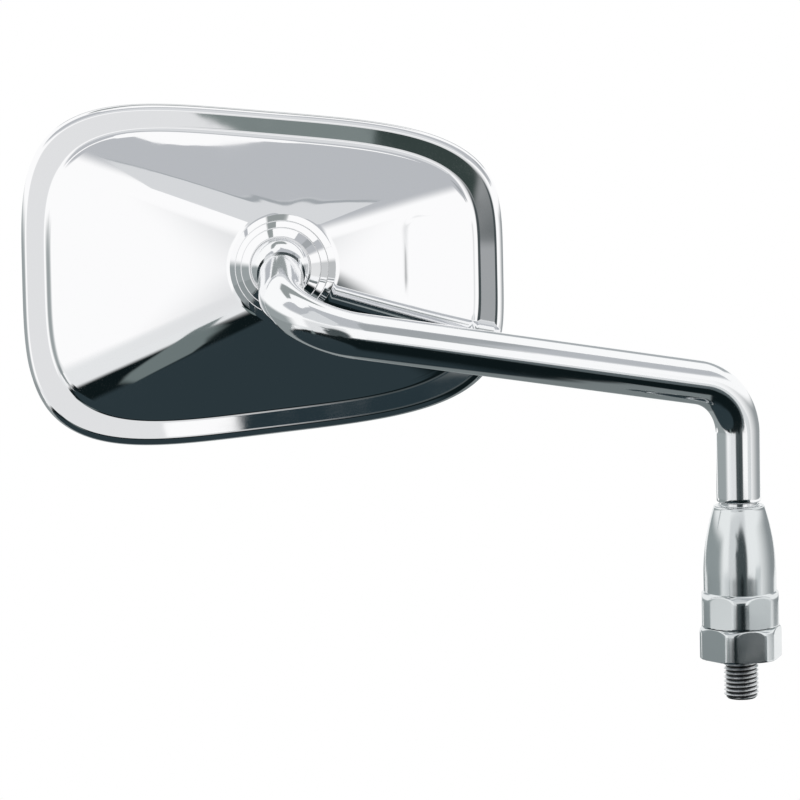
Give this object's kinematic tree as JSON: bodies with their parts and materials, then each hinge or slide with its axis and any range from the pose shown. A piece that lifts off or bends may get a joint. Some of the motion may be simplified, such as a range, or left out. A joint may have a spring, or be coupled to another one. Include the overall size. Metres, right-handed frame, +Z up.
{
  "type": "motorcycle mirror",
  "caption": "Chrome rear-view mirror: rounded trapezoid head on a ball joint, bent round stem, tapered clamp nut and a threaded stud foot.",
  "frame": {"origin": "on the stud's axis, where the lower hexagon seats on the handlebar perch", "axes": "+Z up the stud and the stem, +X away from the head, the glass faces +Y and the back of the head -Y"},
  "size_m": [0.2155, 0.0776, 0.1747],
  "materials": {
    "head_chrome": "bright chrome plate on a moulded shell",
    "stem_chrome": "bright chrome plate on polished steel bar",
    "foot_chrome": "chrome plate over fine turning marks",
    "steel": "zinc plated",
    "brass": "plain",
    "nylon": "moulded",
    "foam": "open foam",
    "mirror_glass": "silvered convex glass",
    "rubber": "matt"
  },
  "bodies": {
    "foot": {"adapter": "foot_chrome", "lower_washer": "brass"},
    "nut": {"clamp_nut": "foot_chrome"},
    "arm": {"stem": "stem_chrome", "swivel_collar": "steel", "collar_pin": "steel", "upper_washer": "brass", "stem_ball": "stem_chrome", "ball_screw": "steel"},
    "liner": {"ball_liner": "nylon"},
    "cup": {"pressure_cup": "steel"},
    "head": {"housing": "head_chrome", "spring": "steel", "retainer_plate": "steel", "retainer_screw_1": "steel", "retainer_screw_2": "steel", "retainer_screw_3": "steel", "retainer_screw_4": "steel", "foam_pad": "foam", "glass": "mirror_glass", "glass_gasket": "rubber"}
  },
  "joints": [
    {"name": "clamp_nut_turn", "type": "hinge", "parent": "foot", "child": "nut", "pos_m": [0, 0, 0.02], "axis": [0, 0, 1], "range_deg": [0, 90]},
    {"name": "arm_swivel", "type": "hinge", "parent": "foot", "child": "arm", "pos_m": [0, 0, 0.03], "axis": [0, 0, 1], "continuous": true},
    {"name": "mirror_tilt", "type": "hinge", "parent": "arm", "child": "liner", "pos_m": [-0.12841, -0.01789, 0.11754], "axis": [0.9971, -0.0767, 0], "range_deg": [-4, 36]},
    {"name": "mirror_pan", "type": "hinge", "parent": "liner", "child": "cup", "pos_m": [-0.12841, -0.01789, 0.11754], "axis": [0.006, 0.0782, 0.9969], "range_deg": [-8, 14]},
    {"name": "mirror_roll", "type": "hinge", "parent": "cup", "child": "head", "pos_m": [-0.12841, -0.01789, 0.11754], "axis": [-0.0765, -0.994, 0.0785], "continuous": true}
  ]
}
